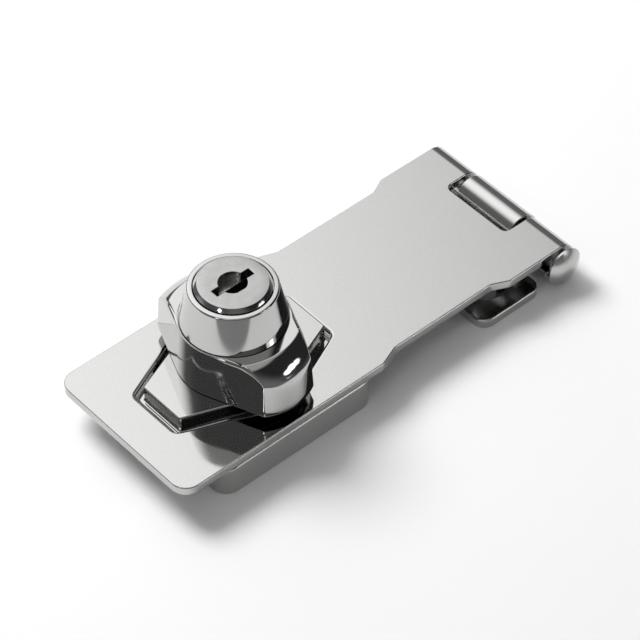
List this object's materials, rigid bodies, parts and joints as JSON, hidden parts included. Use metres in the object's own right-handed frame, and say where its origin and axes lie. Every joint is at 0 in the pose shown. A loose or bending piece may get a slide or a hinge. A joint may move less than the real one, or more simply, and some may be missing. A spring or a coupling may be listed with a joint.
{
  "type": "hasp lock",
  "caption": "Keyed twist-knob hasp lock: a slotted leaf on a pin hinge closes over a square housing, and a winged knob with a key plug turns across it.",
  "frame": {"origin": "on the knob's axis, on the mounting surface under the housing", "axes": "+X runs along the hasp to the hinge, +Y across it away from the pin's head, +Z out of the mounting surface along the knob's axis"},
  "size_m": [0.1116, 0.0458, 0.0341],
  "materials": {
    "housing_chrome": "bright plated casting",
    "knob_chrome": "bright plated casting",
    "leaf_chrome": "bright plated pressed steel",
    "plate_chrome": "bright plated pressed steel",
    "pin_chrome": "bright plated, softly polished",
    "plug_chrome": "plated, fine turned face",
    "steel": "plain zinc plated steel",
    "spring_steel": "plain spring steel",
    "wafer_brass": "stamped brass"
  },
  "bodies": {
    "staple": {"base_housing": "housing_chrome", "stop_pin": "steel", "flat_washer": "steel", "spring_washer": "spring_steel"},
    "leaf": {"hasp_leaf": "leaf_chrome", "hinge_pin": "pin_chrome"},
    "plate": {"hinge_plate": "plate_chrome"},
    "knob": {"knob_body": "knob_chrome", "spindle": "steel", "retaining_ring": "spring_steel"},
    "plug": {"lock_plug": "plug_chrome", "comb_spring": "spring_steel", "retainer_wafer": "wafer_brass"},
    "bolt": {"locking_bolt": "steel"},
    "wafer_a": {"wafer_1": "wafer_brass"},
    "wafer_b": {"wafer_2": "wafer_brass"},
    "wafer_c": {"wafer_3": "wafer_brass"},
    "wafer_d": {"wafer_4": "wafer_brass"}
  },
  "joints": [
    {"name": "leaf_lift", "type": "hinge", "parent": "staple", "child": "leaf", "pos_m": [0.0755, 0, 0.00525], "axis": [0, 1, 0], "range_deg": [0, 1.5]},
    {"name": "plate_swing", "type": "hinge", "parent": "leaf", "child": "plate", "pos_m": [0.0755, 0, 0.00525], "axis": [0, -1, 0], "range_deg": [0, 180]},
    {"name": "knob_turn", "type": "hinge", "parent": "staple", "child": "knob", "pos_m": [0, 0, 0.012], "axis": [0, 0, 1], "range_deg": [0, 90]},
    {"name": "plug_turn", "type": "hinge", "parent": "knob", "child": "plug", "pos_m": [0, 0, 0.02], "axis": [0, 0, 1], "range_deg": [0, 90]},
    {"name": "bolt_throw", "type": "slide", "parent": "knob", "child": "bolt", "axis": [-1, 0, 0], "range_m": [0, 0.00212]},
    {"name": "wafer_a_slide", "type": "slide", "parent": "plug", "child": "wafer_a", "axis": [1, 0, 0], "range_m": [0, 0.0007], "stiffness_N_per_m": 20, "springref_m": 0.0007},
    {"name": "wafer_b_slide", "type": "slide", "parent": "plug", "child": "wafer_b", "axis": [1, 0, 0], "range_m": [0, 0.0007], "stiffness_N_per_m": 20, "springref_m": 0.0007},
    {"name": "wafer_c_slide", "type": "slide", "parent": "plug", "child": "wafer_c", "axis": [1, 0, 0], "range_m": [0, 0.0007], "stiffness_N_per_m": 20, "springref_m": 0.0007},
    {"name": "wafer_d_slide", "type": "slide", "parent": "plug", "child": "wafer_d", "axis": [1, 0, 0], "range_m": [0, 0.0007], "stiffness_N_per_m": 20, "springref_m": 0.0007}
  ],
  "couplings": [
    {"joint": "bolt_throw", "follows": "plug_turn", "m_per_rad": 0.0013505}
  ]
}
